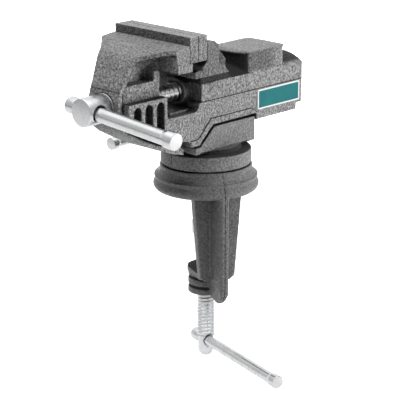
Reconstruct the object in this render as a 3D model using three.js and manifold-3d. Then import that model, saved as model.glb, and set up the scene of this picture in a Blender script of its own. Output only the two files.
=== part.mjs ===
// Swivel bench vise on a C-clamp bracket, shown with its jaws closed.
// Lengths are in millimetres. The origin is the centre of the base flange's underside, on the
// swivel axis. +Z is up, +Y runs from the screw head to the anvil, +X is the side with the label.

import * as THREE from 'three';
import { mergeVertices } from 'three/addons/utils/BufferGeometryUtils.js';
import Module from 'manifold-3d';

const wasm = await Module();
wasm.setup();

// Clearances and facets
const seat = 0.3;
const play = 0.4;
const shadowGap = 1.6;
const slopeGap = 1.4;
const overrun = 3;
const sink = 1;
const castingSides = 48;
const rodSides = 20;
const screwSides = 16;

// Base of the clamp bracket, radius and height above the bench face
const base = {
  footRadius: 27.6, beadRadius: 31.3, beadHeight: 3.9, valleyRadius: 29.9, valleyZ: 7.2,
  shoulderRadius: 30.6, shoulderZ: 8.5, coveRadius: 27.7, coveTop: 12.7, rimRadius: 27.3,
  rimTop: 16.2, rimRound: 0.4, spigotRadius: 17, spigotHeight: 9.2, grooveDepth: 1.4,
  grooveHalf: 1.2,
};

// Column, arm and boss of the clamp bracket; rho is the distance from the swivel axis
const column = {
  azimuth: THREE.MathUtils.degToRad(65), innerRho: 13.7, wing: 5.7, halfTop: 15, halfFoot: 10.9,
  footZ: -52.1, ribRho: 31.2, ribHalfRoot: 4.9, ribHalfEdge: 2.6, ribFoot: -65.8, ribRound: 12,
  keelHalf: 0.8, keelRise: 22, armTop: -48, armThick: 3, armRadius: 11.2, bossRadius: 10.7, bossFoot: -64.3,
  bossGroove: 1.4, bossGrooveWidth: 1.2,
};

// Turret, the casting that turns on the base
const turret = {
  radius: 26.8, top: 25.8, neckRadius: 20.5, shoulder: 1.8, blockFoot: 27.6, frontTop: 31.9,
  frontRun: 4.4, slopeRun: 11.2, edgeRound: 0.7,
};

// Swivel lock on the side away from the label
const lock = {
  axisZ: 22.3, bossRadius: 5.2, bossReach: 5.5, screwRadius: 3, plugRadius: 2.1, plugLength: 2.2,
  headRadius: 4.5, headLength: 10, barX: -52, barRadius: 2.9, knobRadius: 3.8, knobLength: 6,
  barFrontY: -28, barLength: 41,
};

// Vise body
const body = {
  half: 16, upperHalf: 15.7, seatZ: 43.6, seamZ: 58, sideTop: 68.2, roofTop: 73, rearY: 67.2,
  rearLowY: 66.4, rearStepY: 61.8, rearStepZ: 43.4, rearFoot: 39.6, upperFrontY: -20,
  lowerFrontY: -22.3, chinFrontY: -29, chinZ: 33, floorFoot: 38, floorTop: 47,
  wall: 4.9, lipProud: 0.6, lipWidth: 3.8, bossRadius: 8.2, bossFrontY: -26.3,
};

// Slotted walls that guide the moving jaw, and the notch behind them
const trough = {
  frontY: -77.3, rearY: -47.6, top: 66.2, notchZ: 53.2, notchRound: 2.4, slotWidth: 6,
  slotTop: 63.8, slotPitch: 8.85, slotFromRear: 5.2, slotEdge: 4.6, slotCount: 3,
};

// Jaws and their plates
const jaw = {
  half: 30, contactY: -37, plateThick: 6.5, plateHeight: 14.6, plateTop: 100.9, castTop: 96.4,
  screwInset: 12, screwDrop: 9.4, screwRadius: 2, screwHead: 3.9, screwHeadDeep: 2.2, screwLength: 13,
};

// Fixed jaw, measured back from the plate's seat
const fixed = {
  backThick: 9.5, rearCrownDrop: 3.1, rearCrownRun: 3.2, backFoot: 79.2, lipRun: 3.5, lipDrop: 3.4,
  ledgeHalf: 26, ledgeFrontY: -35.7, ledgeRearY: -7.9, ledgeTop: 79.7, ledgeFoot: 75.6,
  ledgeTipRun: 5.3, ledgeTipRise: 2, gussetHalf: 20, gussetRearY: -4.8, gussetTop: 82,
  gussetRun: 5.4, gussetRise: 6.4, neckHalf: 15, neckRearY: 2,
};

// Anvil
const anvil = {
  top: 80.7, plate: 1.2, half: 15.3, frontY: 14.3, rearY: 53.2, frontCorner: 9, rearCorner: 4,
  bulge: 1, neckCorner: 6, neckRun: 2, neckInset: 0.5,
};

// Moving jaw
const slide = {
  beamHalf: 10.7, beamTop: 75.5, beamRearY: -48.6, noseHalf: 12, noseBackY: -78.1,
  tongueTop: 54.4, tongueRearY: 50, spineRearY: -30.5, spineThick: 3, hoodThick: 3.2,
  headFrontY: -54.5, headLip: 4.6, headLedgeY: -41.3, webHalf: 4, wallRearY: -42, wallFoot: 71,
  hollowRearY: -53.1, hollowRearZ: 87.4, hollowFrontY: -76.6, hollowFrontZ: 77.6,
};

// Lead screw, its nut and what holds it
const lead = {
  axisZ: 63.1, radius: 5.3, pitch: 3.5, threadDeep: 1, headRadius: 8.1, headLength: 16.2,
  headFrontY: -98.2, tipY: 56, chamfer: 0.8, holeRadius: 4.9, holeFromFront: 7.7,
  nutHalf: 8.6, nutFoot: 55.1, nutTop: 69.9, nutFrontY: -13.6, nutLength: 19.7,
  washer: 1, washerRadius: 8.3, collarRadius: 7.4, collarLength: 5, pinRadius: 1.2,
  setScrewRadius: 3,
};

// Main bar through the lead screw's head
const mainBar = {
  radius: 4.1, knobRadius: 4.9, knobLength: 8.5, reach: 65.5, drop: 0.5,
  tilt: THREE.MathUtils.degToRad(4.4),
};

// Clamp screw, its pad and its bar
const clamp = {
  radius: 5.3, pitch: 2.2, threadDeep: 0.7, threadFoot: -92.7, headFoot: -106, headRadius: 4.6,
  tip: -28, ballRadius: 3.4, padRadius: 8.5, padThick: 8, holeZ: -95.6, holeRadius: 3.55,
  barRadius: 3.1, knobRadius: 3.8, knobLength: 7, barReach: 79.5, barDrop: 0.1,
  barAzimuth: THREE.MathUtils.degToRad(-15.1),
};

// Screws that hold the body to the turret
const bodyScrew = {
  x: 6, frontY: -3, rearInset: 6, radius: 2.5, head: 4.4, headDeep: 2.2, length: 14,
};

// Label plate
const label = { frontY: 27, rearY: 64, foot: 45.3, height: 11.9, thick: 0.4 };

// Finishes
const finishes = {
  paint: { color: 0x5a5b5d, roughness: 0.5, metalness: 0.2 },
  steel: { color: 0xd6d8da, roughness: 0.22, metalness: 1 },
  plate: { color: 0x8d8f92, roughness: 0.45, metalness: 0.6 },
  brass: { color: 0xb59a56, roughness: 0.35, metalness: 1 },
  teal: { color: 0x0d6f71, roughness: 0.4, metalness: 0 },
};

// Points that several pieces share
const turretFoot = base.rimTop + seat;
const spigotTop = base.rimTop + base.spigotHeight;
const blockHalf = turret.radius - turret.shoulder;
const blockTop = body.seatZ - shadowGap;
const innerHalf = body.half - body.wall;
const plateFoot = jaw.plateTop - jaw.plateHeight;
const jawScrewX = jaw.half - jaw.screwInset;
const headLedgeTop = plateFoot - seat;
const headFoot = headLedgeTop - slide.headLip;
const movingSeatY = jaw.contactY - seat / 2 - jaw.plateThick - seat;
const fixedSeatY = jaw.contactY + seat / 2 + jaw.plateThick + seat;
const headRearY = lead.headFrontY + lead.headLength;
const nutRearY = lead.nutFrontY + lead.nutLength;
const holeY = lead.headFrontY + lead.holeFromFront;

// Front of the moving jaw: the hood from the head's edge down to its crease, the nose from there
// to the chin, and the belly behind it
const hoodCurve = [
  [slide.headFrontY, 95.4], [-60, 94.6], [-66, 93], [-69.5, 91.9], [-72, 90], [-74, 87],
  [-76, 82.6], [-78.4, 78.2], [-80.7, 73.4],
];
const noseCurve = [[-80.2, 73], [-81.6, 68], [-81.9, 60.5], [-81.3, 54.6]];
const bellyCurve = [
  [-79.3, 50.6], [-74.7, 46.9], [-68.4, 43.4], [-59.4, 38.8], [-49.7, 34.4], [-40, 30.6],
  [slide.spineRearY, 28],
];

// Half of the hood seen from above, from the head's corner to the nose
const hoodOutline = [
  [jaw.half, slide.headFrontY], [26.2, -57], [23.5, -60.2], [22, -62.3], [18.5, -65.7],
  [15.8, -69.1], [15, -70.8], [13.5, -73.6], [12.6, -76.5], [11.5, -79.2],
];

// Solids

function solid(geometry) {
  const bare = geometry.clone();
  bare.deleteAttribute('normal');
  bare.deleteAttribute('uv');
  const merged = mergeVertices(bare, 1e-4);
  const corners = merged.index.array;
  const kept = [];
  for (let i = 0; i < corners.length; i += 3) {
    const [a, b, c] = [corners[i], corners[i + 1], corners[i + 2]];
    if (a !== b && b !== c && a !== c) kept.push(a, b, c);
  }
  return new wasm.Manifold(new wasm.Mesh({
    numProp: 3,
    vertProperties: new Float32Array(merged.attributes.position.array),
    triVerts: new Uint32Array(kept),
  }));
}

function geometryOf(shape) {
  const mesh = shape.getMesh();
  const geometry = new THREE.BufferGeometry();
  geometry.setAttribute('position', new THREE.BufferAttribute(mesh.vertProperties, 3));
  geometry.setIndex(new THREE.BufferAttribute(mesh.triVerts, 1));
  geometry.computeVertexNormals();
  return geometry;
}

function join(...shapes) {
  return shapes.reduce((whole, shape) => whole.add(shape));
}

function cut(shape, ...tools) {
  return tools.reduce((rest, tool) => rest.subtract(tool), shape);
}

const sideways = new THREE.Matrix4().makeBasis(
  new THREE.Vector3(0, 1, 0), new THREE.Vector3(0, 0, 1), new THREE.Vector3(1, 0, 0));
const lengthways = new THREE.Matrix4().makeBasis(
  new THREE.Vector3(0, 0, 1), new THREE.Vector3(1, 0, 0), new THREE.Vector3(0, 1, 0));

function extruded(points, depth) {
  const shape = new THREE.Shape(points.map(([u, v]) => new THREE.Vector2(u, v)));
  return new THREE.ExtrudeGeometry(shape, { depth, bevelEnabled: false, curveSegments: 6 });
}

// A side view of [y, z] points, as thick as the piece is wide
function profile(points, half, from = -half) {
  const geometry = extruded(points, half - from).translate(0, 0, from);
  return solid(geometry.applyMatrix4(sideways));
}

// A front view of [x, z] points between two places along Y
function section(points, from, to) {
  const geometry = extruded(points.map(([x, z]) => [z, x]), to - from).translate(0, 0, from);
  return solid(geometry.applyMatrix4(lengthways));
}

// A plan of [x, y] points between two heights
function plan(points, from, to) {
  return solid(extruded(points, to - from).translate(0, 0, from));
}

function block(halfX, fromY, toY, fromZ, toZ) {
  return profile([[fromY, fromZ], [toY, fromZ], [toY, toZ], [fromY, toZ]], halfX);
}

// A body of revolution about Z from [radius, z] points, listed upwards round its outside
function turned(points, sides) {
  const outline = points.map(([r, z]) => new THREE.Vector2(r, z));
  return new THREE.LatheGeometry(outline, sides).rotateX(Math.PI / 2);
}

function disc(radius, from, to, sides = rodSides) {
  return turned([[0, from], [radius, from], [radius, to], [0, to]], sides);
}

function alongX(geometry, y, z) {
  return geometry.rotateY(Math.PI / 2).translate(0, y, z);
}

function alongY(geometry, x, z) {
  return geometry.rotateX(-Math.PI / 2).translate(x, 0, z);
}

function arc(centreU, centreV, radius, from, to, steps) {
  return Array.from({ length: steps + 1 }, (_, i) => {
    const angle = from + ((to - from) * i) / steps;
    return [centreU + radius * Math.cos(angle), centreV + radius * Math.sin(angle)];
  });
}

function mirrored(half) {
  return half.concat(half.map(([x, y]) => [-x, y]).reverse());
}

function between(curve, y) {
  const i = curve.findIndex(([next]) => next >= y);
  const [y0, z0] = curve[i - 1];
  const [y1, z1] = curve[i];
  return z0 + ((z1 - z0) * (y - y0)) / (y1 - y0);
}

// A V-grooved rod that stands for a screw thread
function threadPoints(radius, deep, pitch, from, to) {
  const turns = Math.floor((to - from) / pitch);
  const rings = [];
  for (let turn = 0; turn < turns; turn += 1) {
    rings.push([radius, from + turn * pitch]);
    rings.push([radius - deep, from + (turn + 1 / 2) * pitch]);
  }
  rings.push([radius, from + turns * pitch]);
  rings.push([radius - deep, to]);
  return rings;
}

// A countersunk screw about Z, its head flush at the height given
function countersunk(shankRadius, headRadius, headDeep, length) {
  return turned([
    [0, -length], [shankRadius, -length], [shankRadius, -headDeep], [headRadius, 0], [0, 0],
  ], screwSides);
}

// The room for a countersunk screw: the same shape with a gap all round, open above
function countersink(shankRadius, headRadius, headDeep, length) {
  return turned([
    [0, -length - seat], [shankRadius + seat, -length - seat], [shankRadius + seat, -headDeep - seat],
    [headRadius + seat, -seat], [headRadius + seat, overrun], [0, overrun],
  ], screwSides);
}

// A knob about Z on the end of a bar: a short cone, a cylinder and a chamfered end
function knob(barRadius, knobRadius, length) {
  const cone = length / 3;
  const chamfer = (knobRadius - barRadius) / 2;
  return turned([
    [0, 0], [barRadius, 0], [knobRadius, cone], [knobRadius, length - chamfer],
    [knobRadius - chamfer, length], [0, length],
  ], rodSides);
}

// Pieces

const vise = new THREE.Group();

function addPiece(name, shape, finish, parent = vise) {
  const geometry = shape.isBufferGeometry ? shape : geometryOf(shape);
  const mesh = new THREE.Mesh(geometry, new THREE.MeshStandardMaterial(finishes[finish]));
  mesh.name = name;
  parent.add(mesh);
}

// Clamp bracket: flange, spigot, column, arm and boss in one casting
function clampBracket() {
  const grooveZ = lock.axisZ;
  const grooveRadius = base.spigotRadius - base.grooveDepth;
  const grooveMouth = base.grooveHalf + base.grooveDepth;
  const beadSpan = base.beadRadius - base.footRadius;
  const coveSpan = base.shoulderRadius - base.coveRadius;
  const stack = solid(turned([
    [0, 0],
    [base.footRadius, 0],
    ...arc(base.footRadius, base.beadHeight, beadSpan, -Math.PI / 3, Math.PI / 4, 5),
    [base.valleyRadius, base.valleyZ],
    [base.shoulderRadius, base.shoulderZ],
    ...arc(base.shoulderRadius, base.coveTop, coveSpan, (3 * Math.PI) / 2, Math.PI, 4),
    [base.rimRadius, base.coveTop],
    [base.rimRadius, base.rimTop - base.rimRound],
    [base.rimRadius - base.rimRound, base.rimTop],
    [base.spigotRadius, base.rimTop],
    [base.spigotRadius, grooveZ - grooveMouth],
    [grooveRadius, grooveZ - base.grooveHalf],
    [grooveRadius, grooveZ + base.grooveHalf],
    [base.spigotRadius, grooveZ + grooveMouth],
    [base.spigotRadius, spigotTop],
    [0, spigotTop],
  ], castingSides));

  const wingFace = column.innerRho + column.wing;
  const wing = section([
    [column.halfTop, sink], [-column.halfTop, sink],
    [-column.halfFoot, column.footZ + column.wing / 2], [-column.halfFoot + column.wing / 2, column.footZ],
    [column.halfFoot - column.wing / 2, column.footZ], [column.halfFoot, column.footZ + column.wing / 2],
  ], -wingFace, -column.innerRho);

  const ribSide = profile([
    [0, column.bossFoot + sink], [-column.ribRho + column.ribRound, column.ribFoot],
    ...arc(-column.ribRho + column.ribRound, column.ribFoot + column.ribRound, column.ribRound,
      -Math.PI / 2, -Math.PI, 5),
    [-column.ribRho, base.beadHeight], [-column.innerRho - sink, base.beadHeight],
    [-column.innerRho - sink, column.armTop - sink], [0, column.armTop - sink],
  ], column.halfTop);
  const ribPlan = plan(mirrored([
    [column.ribHalfRoot, 0], [column.ribHalfRoot, -wingFace],
    [column.ribHalfEdge, -column.ribRho + column.ribHalfEdge / 2],
    [column.ribHalfEdge / 2, -column.ribRho - sink],
  ]), column.ribFoot - overrun, base.beadHeight + overrun);

  const ribFront = section([
    [column.halfTop, base.beadHeight + overrun], [-column.halfTop, base.beadHeight + overrun],
    [-column.halfTop, column.ribFoot + column.keelRise],
    [-column.ribHalfRoot, column.ribFoot + column.keelRise],
    [-column.keelHalf, column.ribFoot - sink], [column.keelHalf, column.ribFoot - sink],
    [column.ribHalfRoot, column.ribFoot + column.keelRise],
    [column.halfTop, column.ribFoot + column.keelRise],
  ], -column.ribRho - overrun, overrun);

  const armPlan = arc(0, 0, column.armRadius, 0, Math.PI, 12);
  const arm = plan([
    ...armPlan, [-column.halfFoot, -wingFace + sink], [column.halfFoot, -wingFace + sink],
  ], column.armTop - column.armThick, column.armTop);

  const bossSpan = column.armTop - column.armThick - column.bossFoot;
  const grooveAt = (share) => column.bossFoot + bossSpan * share;
  const bossGroove = (z) => [
    [column.bossRadius, z - column.bossGrooveWidth], [column.bossRadius - column.bossGroove, z],
    [column.bossRadius, z + column.bossGrooveWidth],
  ];
  const boss = solid(turned([
    [0, column.bossFoot], [column.bossRadius, column.bossFoot],
    ...bossGroove(grooveAt(1 / 3)), ...bossGroove(grooveAt(3 / 4)),
    [column.bossRadius, column.armTop - sink], [0, column.armTop - sink],
  ], castingSides / 2));

  const foot = join(wing, ribSide.intersect(ribPlan).intersect(ribFront), arm, boss);
  const turn = new THREE.Matrix4().makeRotationZ(column.azimuth);
  const turnedFoot = solid(geometryOf(foot).applyMatrix4(turn));
  const bore = solid(disc(clamp.radius + seat, column.bossFoot - overrun, column.armTop + overrun));
  return cut(join(stack, turnedFoot), bore);
}

// Turret: ring over the spigot, block with cheeks, lock boss
function turretCasting() {
  const socket = base.spigotRadius + seat;
  const ring = solid(turned([
    [0, spigotTop + seat], [socket, spigotTop + seat], [socket, turretFoot],
    [turret.radius - turret.edgeRound, turretFoot], [turret.radius, turretFoot + turret.edgeRound],
    [turret.radius, turret.top - turret.edgeRound], [turret.radius - turret.edgeRound, turret.top],
    [turret.neckRadius, turret.top], [turret.neckRadius, turret.blockFoot + sink],
    [0, turret.blockFoot + sink],
  ], castingSides));
  const slopeFoot = -blockHalf + turret.frontRun;
  const cheeks = profile([
    [-blockHalf, turret.blockFoot], [blockHalf, turret.blockFoot],
    [blockHalf, blockTop], [slopeFoot + turret.slopeRun, blockTop],
    [slopeFoot + turret.frontRun / 2, turret.frontTop + turret.frontRun / 2],
    [slopeFoot, turret.frontTop], [-blockHalf, turret.frontTop],
  ], body.half);
  const pad = block(innerHalf, slopeFoot + turret.slopeRun, blockHalf - sink,
    blockTop - sink, body.seatZ - seat);
  const lockBoss = solid(alongX(disc(lock.bossRadius, -turret.radius - lock.bossReach,
    -base.spigotRadius - sink), 0, lock.axisZ));
  const lockBore = solid(alongX(disc(lock.screwRadius + seat, -turret.radius - lock.bossReach - overrun,
    -base.spigotRadius + sink), 0, lock.axisZ));
  const casting = cut(join(ring, cheeks, pad, lockBoss), lockBore);
  return cut(casting, ...bodyScrewPlaces().map(([x, y]) => solid(countersink(
    bodyScrew.radius, bodyScrew.head, bodyScrew.headDeep, bodyScrew.length,
  ).translate(x, y, body.floorTop - seat))));
}

function bodyScrewPlaces() {
  const places = [];
  for (const y of [bodyScrew.frontY, blockHalf - bodyScrew.rearInset]) {
    for (const x of [-bodyScrew.x, bodyScrew.x]) places.push([x, y]);
  }
  return places;
}

// Under edge of the slotted walls, a gap above the moving jaw's belly
function wallFoot() {
  const lift = slide.spineThick + 2 * seat;
  const inner = bellyCurve.filter(([y]) => y > trough.frontY && y < trough.rearY);
  return [[trough.frontY, between(bellyCurve, trough.frontY) + lift + play]]
    .concat(inner.map(([y, z]) => [y, z + lift + seat]));
}

// Body shell: lower sides, walls and chin as one side view
function lowerShell() {
  const slopeFoot = -blockHalf + turret.frontRun;
  return profile([
    [body.rearLowY, body.seamZ], [body.rearLowY, body.rearStepZ], [body.rearStepY, body.rearStepZ],
    [body.rearStepY - seat, body.rearFoot], [blockHalf + 2 * seat, body.rearFoot],
    [blockHalf + 2 * seat, body.seatZ], [slopeFoot + turret.slopeRun - slopeGap, body.seatZ],
    [slopeFoot + turret.frontRun / 2 - slopeGap, turret.frontTop + turret.frontRun / 2 + shadowGap],
    [slopeFoot - slopeGap, body.chinZ], [body.chinFrontY, body.chinZ],
    [body.chinFrontY - sink, body.floorFoot - shadowGap], [slide.spineRearY - 2 * overrun, body.floorFoot],
    [trough.rearY, body.floorFoot], ...wallFoot().reverse(),
    [trough.frontY, trough.top], [trough.rearY, trough.top],
    [trough.rearY, trough.notchZ + trough.notchRound / 2],
    [trough.rearY + trough.notchRound / 2, trough.notchZ],
    [body.lowerFrontY - trough.notchRound, trough.notchZ],
    [body.lowerFrontY, trough.notchZ + trough.notchRound], [body.lowerFrontY, body.seamZ],
  ], body.half);
}

// Upper shell with its crowned roof
function upperShell() {
  const rise = body.roofTop - body.sideTop;
  const radius = (body.upperHalf ** 2 + rise ** 2) / (2 * rise);
  const spread = Math.asin(body.upperHalf / radius);
  const roof = arc(0, body.roofTop - radius, radius, Math.PI / 2 - spread, Math.PI / 2 + spread, 10);
  return section([
    [-body.upperHalf, body.seamZ - sink], [body.upperHalf, body.seamZ - sink], ...roof,
  ], body.upperFrontY, body.rearY);
}

// Raised lip that follows the body's seat on the turret
function lip() {
  const slopeFoot = -blockHalf + turret.frontRun;
  const rear = blockHalf + 2 * seat;
  return profile([
    [body.chinFrontY, body.chinZ], [slopeFoot - slopeGap, body.chinZ],
    [slopeFoot + turret.frontRun / 2 - slopeGap, turret.frontTop + turret.frontRun / 2 + shadowGap],
    [slopeFoot + turret.slopeRun - slopeGap, body.seatZ], [rear, body.seatZ], [rear, body.rearFoot],
    [rear + 2 * sink, body.rearFoot], [rear + 2 * sink, body.seatZ],
    [rear - body.lipWidth, body.seatZ + body.lipWidth],
    [slopeFoot + turret.slopeRun - slopeGap - body.lipWidth / 2, body.seatZ + body.lipWidth],
    [slopeFoot - slopeGap - sink, body.chinZ + body.lipWidth], [body.chinFrontY, body.chinZ + body.lipWidth],
  ], body.half + body.lipProud);
}

// Fixed jaw: back with its crown, ledge with its gusset, and neck down to the roof
function fixedJaw() {
  const rearY = fixedSeatY + fixed.backThick;
  const crown = jaw.castTop + seat;
  const back = profile([
    [fixedSeatY, crown], [fixedSeatY, plateFoot - seat],
    [fixedSeatY - fixed.lipRun, plateFoot - fixed.lipDrop],
    [fixedSeatY - fixed.lipRun, fixed.backFoot + sink], [rearY, fixed.backFoot],
    [rearY, crown - fixed.rearCrownDrop], [rearY - fixed.rearCrownRun, crown - seat],
  ], jaw.half);
  const ledge = profile([
    [fixed.ledgeFrontY, fixed.ledgeFoot], [fixed.ledgeRearY, fixed.ledgeFoot],
    [fixed.ledgeRearY - fixed.ledgeTipRun, fixed.ledgeTop + fixed.ledgeTipRise],
    [rearY, fixed.ledgeTop], [fixed.ledgeFrontY, fixed.ledgeTop],
  ], fixed.ledgeHalf);
  const gusset = profile([
    [fixedSeatY + sink, fixed.ledgeFoot], [fixed.gussetRearY, fixed.ledgeFoot],
    [fixed.gussetRearY, fixed.gussetTop],
    [fixed.gussetRearY - fixed.gussetRun, fixed.gussetTop + fixed.gussetRise],
    [rearY - sink, crown - fixed.rearCrownDrop], [fixedSeatY + sink, plateFoot],
  ], fixed.gussetHalf);
  const neck = profile([
    [body.upperFrontY, body.sideTop - overrun], [fixed.neckRearY, body.sideTop - overrun],
    [fixed.neckRearY, body.roofTop - sink], [fixed.ledgeRearY + 2 * sink, fixed.ledgeFoot + sink],
    [body.upperFrontY, fixed.ledgeFoot + sink],
  ], fixed.neckHalf);
  return join(back, ledge, gusset, neck);
}

// An oblong with round corners, its front edge bulging towards the jaw
function oblong(half, frontY, rearY, frontCorner, rearCorner, bulge) {
  const quarter = Math.PI / 2;
  const sideY = frontY + bulge + frontCorner;
  return [
    ...arc(half - rearCorner, rearY - rearCorner, rearCorner, 0, quarter, 4),
    ...arc(-half + rearCorner, rearY - rearCorner, rearCorner, quarter, 2 * quarter, 4),
    ...arc(-half + frontCorner, sideY, frontCorner, 2 * quarter, 3 * quarter, 4),
    [0, frontY],
    ...arc(half - frontCorner, sideY, frontCorner, 3 * quarter, 4 * quarter, 4),
  ];
}

// Anvil: a flat plate on a post with rounder corners, set back towards the jaw
function anvilBlock() {
  const { half, frontY, rearY, frontCorner, rearCorner, bulge, neckRun, neckInset, neckCorner } = anvil;
  const underZ = anvil.top - anvil.plate;
  const top = plan(oblong(half, frontY, rearY, frontCorner, rearCorner, bulge), underZ, anvil.top);
  const post = plan(oblong(half - neckInset, frontY + neckRun, rearY - neckInset, neckCorner,
    rearCorner, bulge), body.sideTop - overrun, underZ + sink / 2);
  return join(top, post);
}

// Room inside the body: walls, tunnel, nut pocket and rear hollow
function bodyRoom() {
  const pocketHalf = lead.nutHalf + seat;
  const channel = block(innerHalf, trough.frontY - overrun, trough.rearY,
    bellyCurve[bellyCurve.length - 1][1], trough.top + overrun);
  const tunnel = block(innerHalf, trough.rearY - overrun, body.rearY + overrun,
    body.floorTop, slide.tongueTop + play);
  const pocket = block(pocketHalf, lead.nutFrontY - seat, nutRearY + sink,
    slide.tongueTop, lead.nutTop + seat);
  const hollow = block(innerHalf, nutRearY + seat, body.rearY + overrun,
    body.floorTop, body.sideTop - sink);
  const bore = solid(alongY(disc(lead.radius + play, body.bossFrontY - overrun,
    body.rearY + overrun), 0, lead.axisZ));
  return [channel, tunnel, pocket, hollow, bore];
}

// Slots through both guide walls, round above and square below
function wallSlots() {
  const edge = wallFoot();
  return Array.from({ length: trough.slotCount }, (_, i) => {
    const y = trough.rearY - trough.slotFromRear - i * trough.slotPitch;
    const radius = trough.slotWidth / 2;
    const foot = between(edge.concat([[trough.rearY, body.floorFoot]]), y) + trough.slotEdge;
    return profile([
      [y - radius, foot], [y + radius, foot],
      ...arc(y, trough.slotTop - radius, radius, 0, Math.PI, 8),
    ], body.half + overrun);
  });
}

function jawScrewRoom(x, towards) {
  const tool = countersink(jaw.screwRadius, jaw.screwHead, jaw.screwHeadDeep, jaw.screwLength);
  if (towards < 0) return solid(alongY(tool, x, jaw.plateTop - jaw.screwDrop)
    .translate(0, jaw.contactY - seat / 2, 0));
  return solid(alongY(tool.rotateX(Math.PI), x, jaw.plateTop - jaw.screwDrop)
    .translate(0, jaw.contactY + seat / 2, 0));
}

function viseBody() {
  const boss = solid(alongY(disc(body.bossRadius, body.bossFrontY, body.upperFrontY + sink,
    castingSides / 2), 0, lead.axisZ));
  const outside = join(lowerShell(), upperShell(), lip(), fixedJaw(), anvilBlock(), boss);
  const setScrewBore = solid(alongX(disc(lead.setScrewRadius + seat, -body.half - overrun,
    -lead.nutHalf), lead.nutFrontY + lead.nutLength / 2, lead.axisZ));
  const screwHoles = bodyScrewPlaces().map(([x, y]) => solid(countersink(
    bodyScrew.radius, bodyScrew.head, bodyScrew.headDeep, bodyScrew.length,
  ).translate(x, y, body.floorTop - seat)));
  return cut(outside, ...bodyRoom(), ...wallSlots(), setScrewBore, ...screwHoles,
    jawScrewRoom(jawScrewX, 1), jawScrewRoom(-jawScrewX, 1));
}

// Moving jaw: hood over nose, web, beam, wall up to the head, spine and tongue
function movingJaw() {
  const chin = noseCurve[noseCurve.length - 1];
  const crease = hoodCurve[hoodCurve.length - 1];
  const nose = profile([
    [slide.hollowRearY, hoodCurve[0][1] - sink],
    ...hoodCurve.slice(1, -1).map(([y, z]) => [y + sink / 2, z - sink / 2]), ...noseCurve, bellyCurve[0],
    [slide.noseBackY, between(bellyCurve, slide.noseBackY)], [slide.noseBackY, slide.beamTop],
    [slide.hollowFrontY, slide.hollowFrontZ], [slide.hollowRearY, slide.hollowRearZ],
  ], slide.noseHalf);
  const underBeam = bellyCurve.filter(([y]) => y < slide.beamRearY);
  const beam = profile([
    [chin[0] + sink, slide.beamTop], [chin[0] + sink, chin[1]], ...underBeam,
    [slide.beamRearY, between(bellyCurve, slide.beamRearY)], [slide.beamRearY, slide.beamTop],
  ], slide.beamHalf);
  const spineTop = bellyCurve.filter(([y]) => y < trough.rearY).map(([y, z]) => [y, z + slide.spineThick]);
  const spine = profile([
    ...bellyCurve, [slide.spineRearY, body.chinZ - shadowGap],
    [slide.spineRearY - 2 * overrun - sink, body.floorFoot - 2 * seat],
    [trough.rearY, body.floorFoot - 2 * seat], ...spineTop.reverse(),
  ], slide.noseHalf);
  const inner = hoodCurve.map(([y, z], i) => {
    const share = i / (hoodCurve.length - 1);
    return [y + slide.hoodThick * share, z - slide.hoodThick * (1 - share / 2)];
  });
  const shell = profile([
    [slide.hollowRearY, hoodCurve[0][1]], ...hoodCurve, ...inner.reverse(),
    [slide.hollowRearY, hoodCurve[0][1] - slide.hoodThick],
  ], jaw.half);
  const outline = plan(mirrored([
    [jaw.half, movingSeatY], ...hoodOutline, [hoodOutline[hoodOutline.length - 1][0], crease[0] - sink],
  ]), crease[1] - 2 * overrun, jaw.plateTop);
  const head = profile([
    [movingSeatY, jaw.castTop], [slide.headFrontY, hoodCurve[0][1]], [slide.hollowRearY, headFoot],
    [slide.headLedgeY, headFoot], [slide.headLedgeY, headLedgeTop],
    [movingSeatY, headLedgeTop],
  ], jaw.half);
  const web = profile([
    [slide.noseBackY - sink, slide.beamTop - sink], [slide.beamRearY, slide.beamTop - sink],
    [slide.beamRearY + 2 * sink, headFoot + sink], [slide.hollowRearY, slide.hollowRearZ + sink],
    [slide.hollowFrontY - sink, slide.hollowFrontZ + sink],
  ], slide.webHalf);
  const wall = profile([
    [slide.hollowRearY, slide.beamTop - sink], [slide.beamRearY - sink, slide.beamTop - sink],
    [slide.beamRearY - sink, slide.wallFoot], [slide.wallRearY, slide.wallFoot],
    [slide.wallRearY, headFoot + sink], [slide.hollowRearY, headFoot + sink],
  ], slide.beamHalf);
  const tongue = block(slide.beamHalf, slide.beamRearY - sink, slide.tongueRearY,
    body.floorTop + play, slide.tongueTop);
  const collarSeatY = slide.beamRearY - lead.collarLength - 2 * seat;
  const bore = solid(alongY(disc(lead.radius + play, chin[0] - 2 * overrun,
    slide.beamRearY + overrun), 0, lead.axisZ));
  const counterbore = solid(alongY(disc(lead.collarRadius + play, collarSeatY,
    slide.beamRearY + overrun), 0, lead.axisZ));
  const spotFace = solid(alongY(disc(lead.washerRadius + play, headRearY - overrun,
    headRearY + lead.washer + 2 * seat), 0, lead.axisZ));
  return cut(join(nose, beam, spine, shell.intersect(outline), head, web, wall, tongue),
    bore, counterbore, spotFace, jawScrewRoom(jawScrewX, -1), jawScrewRoom(-jawScrewX, -1));
}

// Jaw plate with two countersunk holes; towards is the way its screws point
function jawPlate(towards) {
  const near = jaw.contactY + (towards * seat) / 2;
  const far = near + towards * jaw.plateThick;
  const plate = block(jaw.half, Math.min(near, far), Math.max(near, far), plateFoot, jaw.plateTop);
  return cut(plate, jawScrewRoom(jawScrewX, towards), jawScrewRoom(-jawScrewX, towards));
}

function jawScrew(x, towards) {
  const screw = countersunk(jaw.screwRadius, jaw.screwHead, jaw.screwHeadDeep, jaw.screwLength);
  const turnedScrew = towards < 0 ? screw : screw.rotateX(Math.PI);
  return alongY(turnedScrew, x, jaw.plateTop - jaw.screwDrop)
    .translate(0, jaw.contactY + towards * (seat / 2 + seat), 0);
}

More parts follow.
